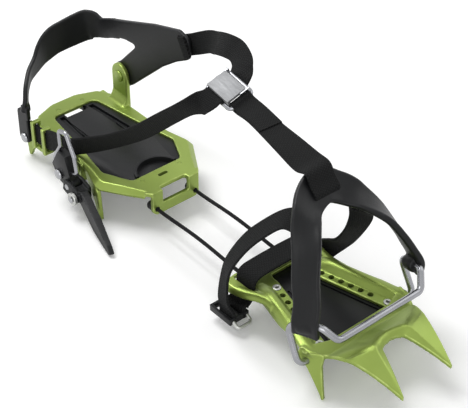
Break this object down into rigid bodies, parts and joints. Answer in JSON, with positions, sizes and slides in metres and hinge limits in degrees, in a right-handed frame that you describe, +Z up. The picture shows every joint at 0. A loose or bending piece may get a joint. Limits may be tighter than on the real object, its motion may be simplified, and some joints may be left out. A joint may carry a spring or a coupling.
{
  "type": "strap crampon",
  "caption": "Crampon with a pressed toe section and heel section joined by cords, a wire toe bail, moulded yoke and heel cradle, webbing straps with a cam buckle, and a side lever.",
  "frame": {"origin": "on the ground, on the centre line, under the gap between the toe section and the heel section", "axes": "+X to the toe points, +Y to the wearer's left, +Z up"},
  "size_m": [0.35, 0.1029, 0.1296],
  "materials": {
    "green_metal": "satin green anodised",
    "moulding": "satin black elastomer",
    "webbing": "black woven webbing",
    "hard_plastic": "black, fine grain",
    "wire": "bright steel wire",
    "pale_metal": "bare, satin"
  },
  "bodies": {
    "toe": {"toe_plate": "green_metal", "toe_snow_plate": "moulding", "toe_eyelets": "pale_metal", "forefoot_strap_near": "webbing", "forefoot_strap_far": "webbing", "forefoot_strap_under": "webbing", "ladder_buckle": "hard_plastic", "ladder_ring": "wire"},
    "toe_bail": {"toe_bail_wire": "wire", "toe_yoke": "moulding"},
    "link": {"cord_near": "webbing", "cord_far": "webbing", "cord_bar": "pale_metal", "cord_stoppers": "hard_plastic"},
    "heel": {"heel_plate": "green_metal", "heel_snow_plate": "moulding", "heel_rivets": "pale_metal", "heel_cradle": "moulding", "cradle_rivet": "pale_metal", "cradle_washer": "pale_metal", "tail_rivet": "pale_metal", "ankle_strap_near": "webbing", "ankle_strap_far": "webbing", "connecting_strap": "webbing", "buckle_frame": "wire", "buckle_pin": "wire", "lever_rivet": "pale_metal"},
    "flap": {"buckle_flap": "pale_metal"},
    "lever_frame": {"lever_block": "hard_plastic", "lever_frame_wire": "wire", "lever_pin": "wire"},
    "lever": {"lever_body": "hard_plastic", "dial_pin": "wire"},
    "dial": {"lever_dial": "pale_metal"}
  },
  "joints": [
    {"name": "bail_pivot", "type": "hinge", "parent": "toe", "child": "toe_bail", "pos_m": [0.102, 0, 0.0185], "axis": [0, 1, 0], "range_deg": [-25, 15], "deforming": ["forefoot_strap_near", "forefoot_strap_far", "connecting_strap"]},
    {"name": "length_slide", "type": "slide", "parent": "toe", "child": "link", "axis": [1, 0, 0], "range_m": [-0.006, 0.024], "deforming": ["connecting_strap"]},
    {"name": "heel_flex", "type": "hinge", "parent": "link", "child": "heel", "pos_m": [-0.0585, 0, 0.0142], "axis": [0, 1, 0], "range_deg": [-12, 20], "deforming": ["connecting_strap"]},
    {"name": "flap_pivot", "type": "hinge", "parent": "heel", "child": "flap", "pos_m": [-0.01488, 0.00987, 0.1173], "axis": [-0.9908, 0.0346, 0.1305], "range_deg": [0, 95]},
    {"name": "frame_pivot", "type": "hinge", "parent": "heel", "child": "lever_frame", "pos_m": [-0.121, 0, 0.02], "axis": [0, -1, 0], "range_deg": [0, 95]},
    {"name": "lever_pivot", "type": "hinge", "parent": "lever_frame", "child": "lever", "pos_m": [-0.11, 0, 0.017], "axis": [0, -1, 0], "range_deg": [0, 45]},
    {"name": "dial_spin", "type": "hinge", "parent": "lever", "child": "dial", "pos_m": [-0.1015, 0, 0.0135], "axis": [0, 1, 0], "continuous": true}
  ]
}
